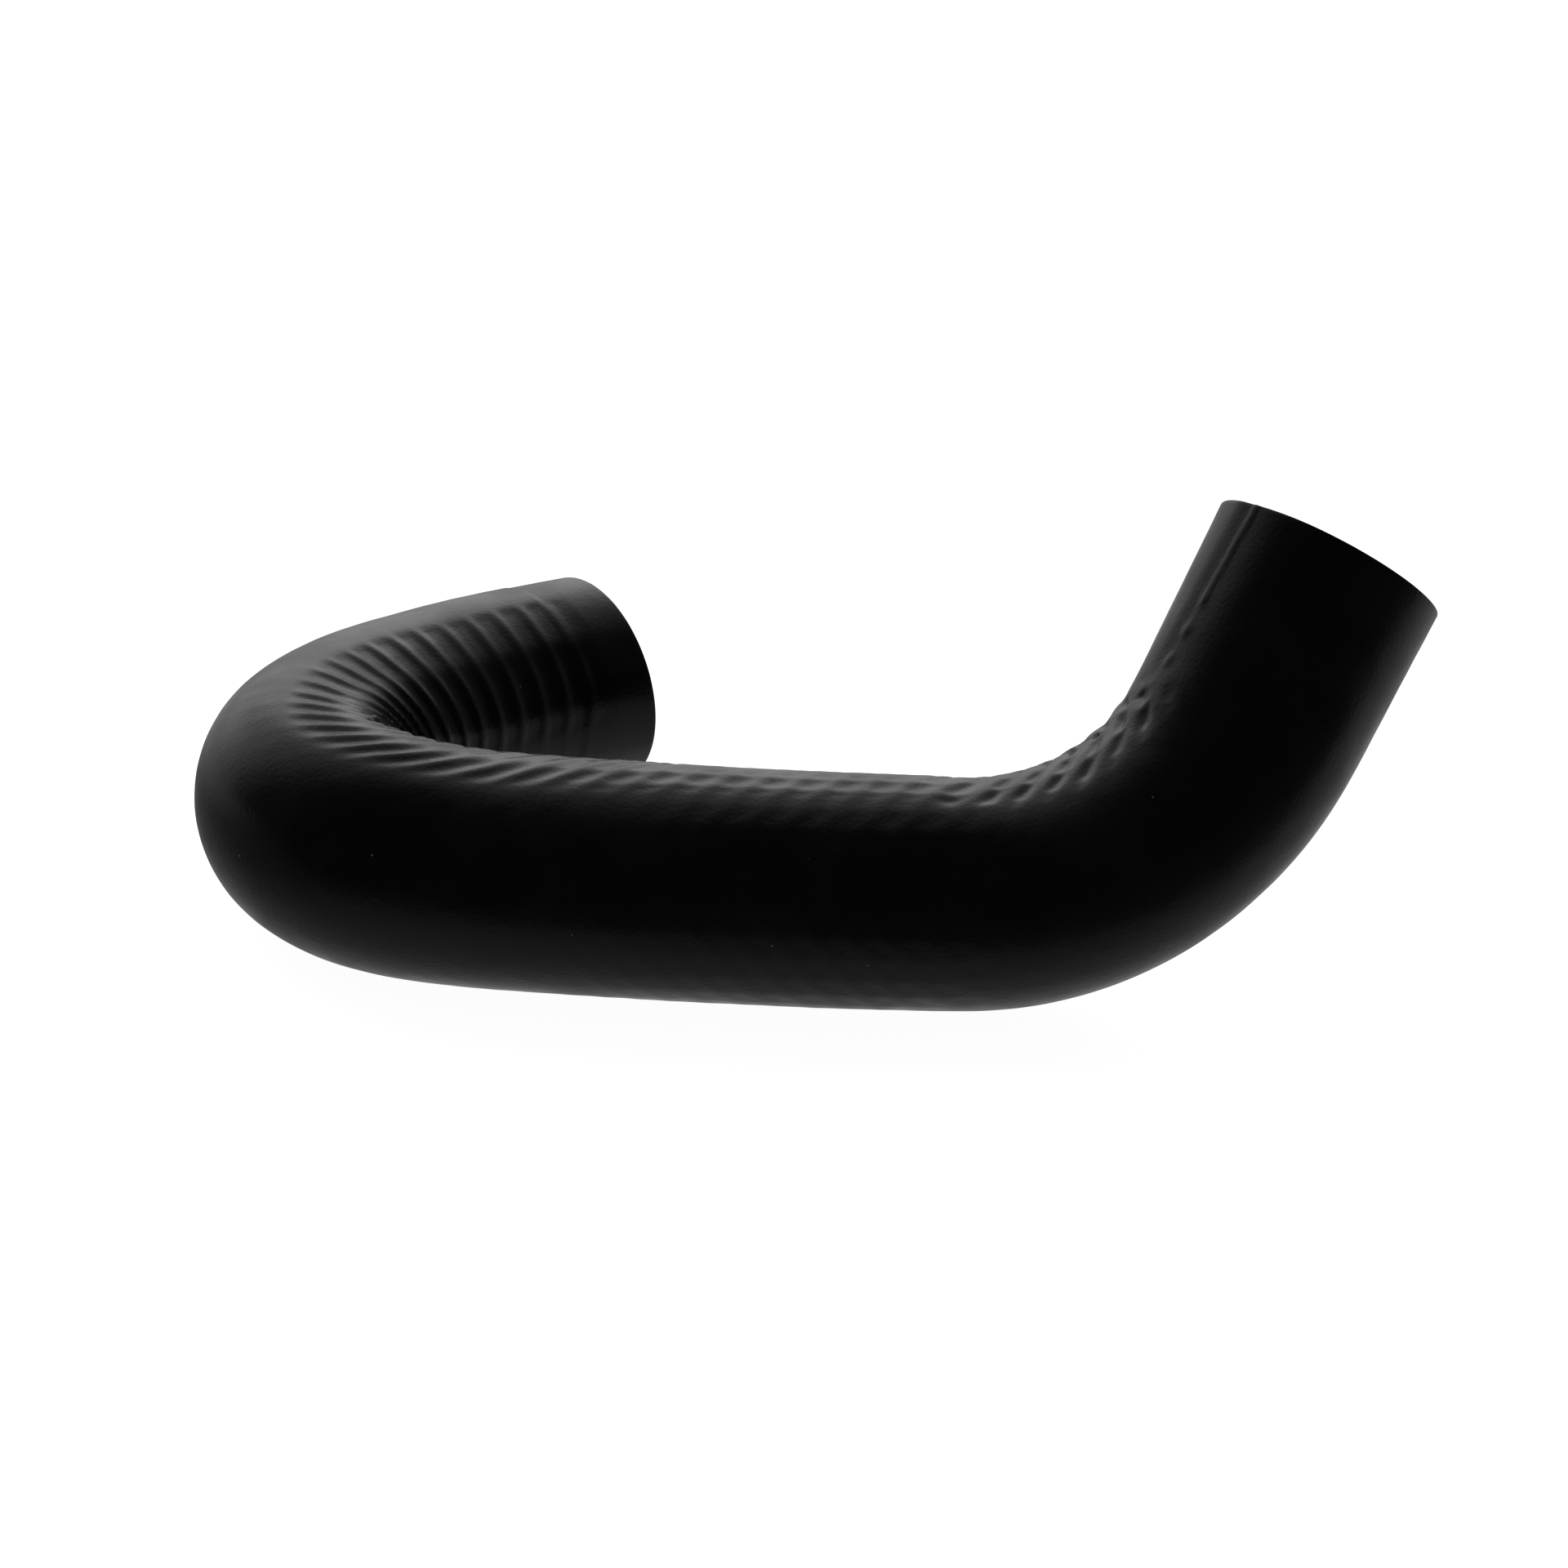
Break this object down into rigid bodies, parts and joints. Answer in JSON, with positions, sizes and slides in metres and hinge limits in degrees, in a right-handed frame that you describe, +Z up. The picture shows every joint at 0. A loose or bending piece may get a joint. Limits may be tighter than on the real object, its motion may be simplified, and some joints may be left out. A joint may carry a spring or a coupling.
{
  "type": "air intake hose",
  "caption": "Moulded black rubber air intake hose with a tight U-bend at one end, a leaning riser at the other and textile relief on its skin.",
  "frame": {"origin": "middle of the hose's box, on the floor it rests on", "axes": "+X along the long run towards the riser, +Y towards the short leg, +Z up"},
  "size_m": [0.2638, 0.1598, 0.1076],
  "materials": {
    "rubber": "satin black rubber over a knitted reinforcement"
  },
  "bodies": {
    "root": {"hose": "rubber"}
  },
  "joints": []
}
